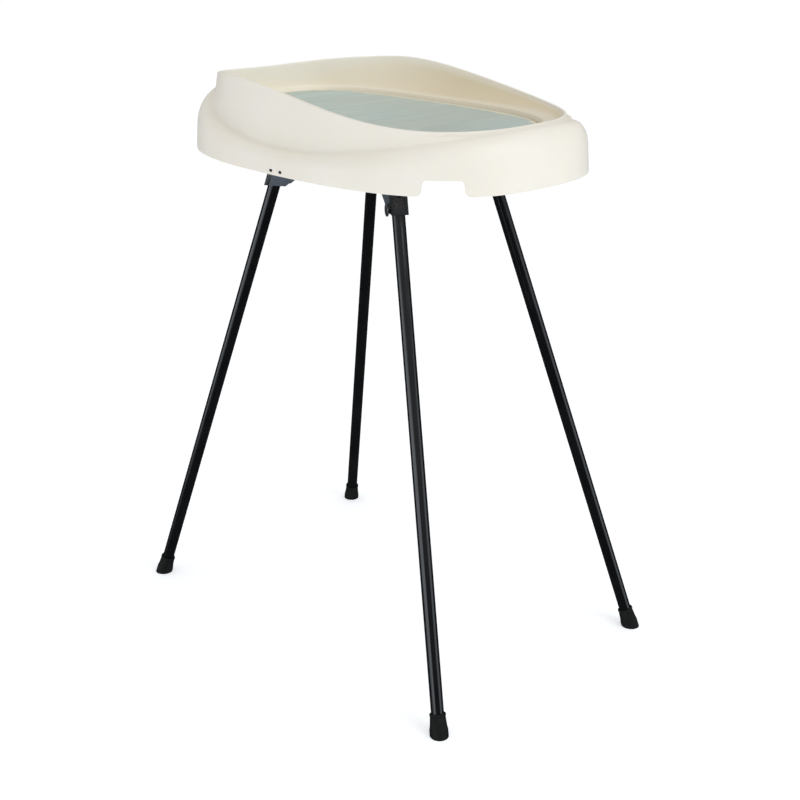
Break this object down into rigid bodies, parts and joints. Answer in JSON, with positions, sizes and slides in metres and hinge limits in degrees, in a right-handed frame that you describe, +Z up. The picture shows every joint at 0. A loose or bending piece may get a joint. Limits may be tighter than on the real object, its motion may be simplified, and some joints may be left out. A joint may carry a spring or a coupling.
{
  "type": "folding changing table",
  "caption": "Oval moulded changing tray with a raised head-end wall and a padded mat, on splayed tube legs that fold under it after a release button is pressed.",
  "frame": {"origin": "on the floor, midway between the feet, under the middle of the tray", "axes": "+Z up, +X along the tray to its open low end, +Y across it to the left side"},
  "size_m": [0.8374, 0.5484, 1.025],
  "materials": {
    "tray_plastic": "satin moulded",
    "plate_plastic": "matt",
    "mat_vinyl": "coated fabric",
    "mat_foam": "foam",
    "zinc_steel": "zinc plated",
    "bracket_plastic": "satin",
    "button_plastic": "gloss",
    "black_tube": "semi-gloss powder coat",
    "foot_rubber": "matt"
  },
  "bodies": {
    "tray": {"tray_shell": "tray_plastic", "mounting_plate": "plate_plastic", "mat_cover": "mat_vinyl", "mat_core": "mat_foam", "bracket_screws": "zinc_steel", "bracket_rear_right": "bracket_plastic", "pivot_pin_rear_right": "zinc_steel", "button_spring_rear_right": "zinc_steel", "bracket_rear_left": "bracket_plastic", "pivot_pin_rear_left": "zinc_steel", "button_spring_rear_left": "zinc_steel", "bracket_front_right": "bracket_plastic", "pivot_pin_front_right": "zinc_steel", "button_spring_front_right": "zinc_steel", "bracket_front_left": "bracket_plastic", "pivot_pin_front_left": "zinc_steel", "button_spring_front_left": "zinc_steel"},
    "leg_rear_right": {"knuckle_rear_right": "bracket_plastic", "tube_rear_right": "black_tube", "latch_pin_rear_right": "zinc_steel", "foot_rear_right": "foot_rubber"},
    "release_rear_right": {"button_rear_right": "button_plastic"},
    "leg_rear_left": {"knuckle_rear_left": "bracket_plastic", "tube_rear_left": "black_tube", "latch_pin_rear_left": "zinc_steel", "foot_rear_left": "foot_rubber"},
    "release_rear_left": {"button_rear_left": "button_plastic"},
    "leg_front_right": {"knuckle_front_right": "bracket_plastic", "tube_front_right": "black_tube", "latch_pin_front_right": "zinc_steel", "foot_front_right": "foot_rubber"},
    "release_front_right": {"button_front_right": "button_plastic"},
    "leg_front_left": {"knuckle_front_left": "bracket_plastic", "tube_front_left": "black_tube", "latch_pin_front_left": "zinc_steel", "foot_front_left": "foot_rubber"},
    "release_front_left": {"button_front_left": "button_plastic"}
  },
  "joints": [
    {"name": "fold_rear_right", "type": "hinge", "parent": "tray", "child": "leg_rear_right", "pos_m": [-0.14902, -0.11194, 0.868], "axis": [0.5, -0.866, 0], "range_deg": [0, 108.6]},
    {"name": "press_rear_right", "type": "slide", "parent": "tray", "child": "release_rear_right", "axis": [0.5, -0.866, 0], "range_m": [0, 0.003], "stiffness_N_per_m": 600, "springref_m": -0.002},
    {"name": "fold_rear_left", "type": "hinge", "parent": "tray", "child": "leg_rear_left", "pos_m": [-0.14173, 0.10774, 0.893], "axis": [-0.5, -0.866, 0], "range_deg": [0, 108.6]},
    {"name": "press_rear_left", "type": "slide", "parent": "tray", "child": "release_rear_left", "axis": [-0.5, -0.866, 0], "range_m": [0, 0.003], "stiffness_N_per_m": 600, "springref_m": -0.002},
    {"name": "fold_front_right", "type": "hinge", "parent": "tray", "child": "leg_front_right", "pos_m": [0.14173, -0.10774, 0.893], "axis": [0.5, 0.866, 0], "range_deg": [0, 108.6]},
    {"name": "press_front_right", "type": "slide", "parent": "tray", "child": "release_front_right", "axis": [0.5, 0.866, 0], "range_m": [0, 0.003], "stiffness_N_per_m": 600, "springref_m": -0.002},
    {"name": "fold_front_left", "type": "hinge", "parent": "tray", "child": "leg_front_left", "pos_m": [0.14902, 0.11194, 0.868], "axis": [-0.5, 0.866, 0], "range_deg": [0, 108.6]},
    {"name": "press_front_left", "type": "slide", "parent": "tray", "child": "release_front_left", "axis": [-0.5, 0.866, 0], "range_m": [0, 0.003], "stiffness_N_per_m": 600, "springref_m": -0.002}
  ]
}
